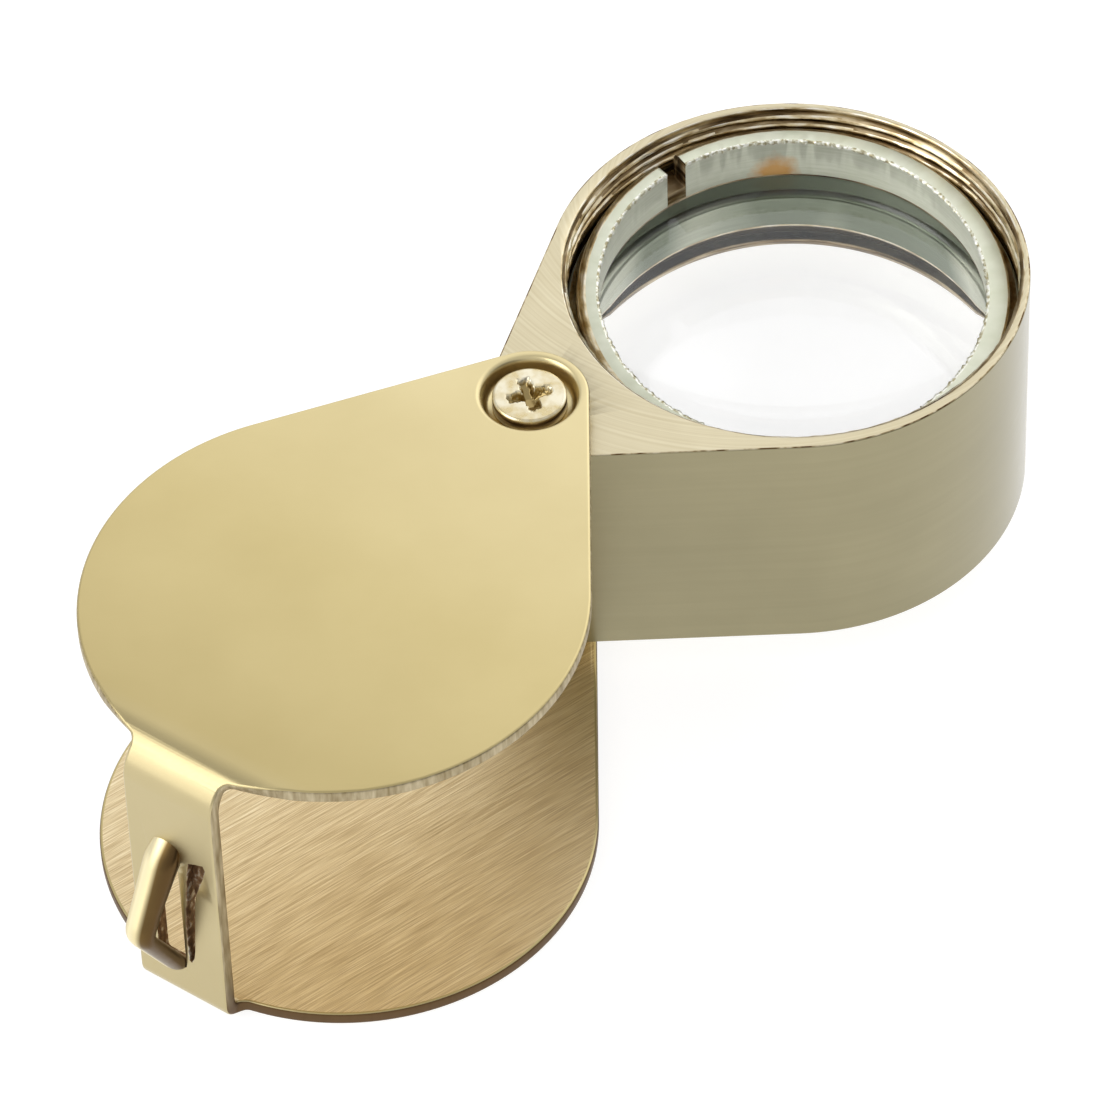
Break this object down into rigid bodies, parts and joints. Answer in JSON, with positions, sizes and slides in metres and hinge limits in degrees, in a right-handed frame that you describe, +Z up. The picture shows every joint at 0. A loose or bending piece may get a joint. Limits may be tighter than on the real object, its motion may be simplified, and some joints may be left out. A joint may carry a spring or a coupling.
{
  "type": "folding loupe",
  "caption": "Folding pocket loupe: a drop-shaped lens housing pivots out of a folded sheet-metal case with a pressed lanyard bail.",
  "frame": {"origin": "on the underside of the case's lower plate, at the centre of the plate's round end", "axes": "+Z up out of the lower plate and along the pivot; +X from the folded web towards the pivot, along the case's middle; +Y completes the right-handed frame"},
  "size_m": [0.0617, 0.0303, 0.0177],
  "materials": {
    "case_sheet": "satin gold outside, coarse brushed inside",
    "housing_metal": "pale gold plate over fine milling marks",
    "ring_metal": "bright turned",
    "spacer_metal": "plain turned",
    "lens_glass": "clear polished",
    "screw_metal": "pale gold plate, worn at the cross recess"
  },
  "bodies": {
    "case": {"case": "case_sheet"},
    "housing": {"housing": "housing_metal", "retaining_ring": "ring_metal", "lens_upper": "lens_glass", "lens_spacer": "spacer_metal", "lens_lower": "lens_glass", "pivot_screw_top": "screw_metal", "pivot_screw_bottom": "screw_metal"}
  },
  "joints": [
    {"name": "housing_swing", "type": "hinge", "parent": "case", "child": "housing", "pos_m": [0.0168, 0, 0.00885], "axis": [0, 0, 1], "continuous": true}
  ]
}
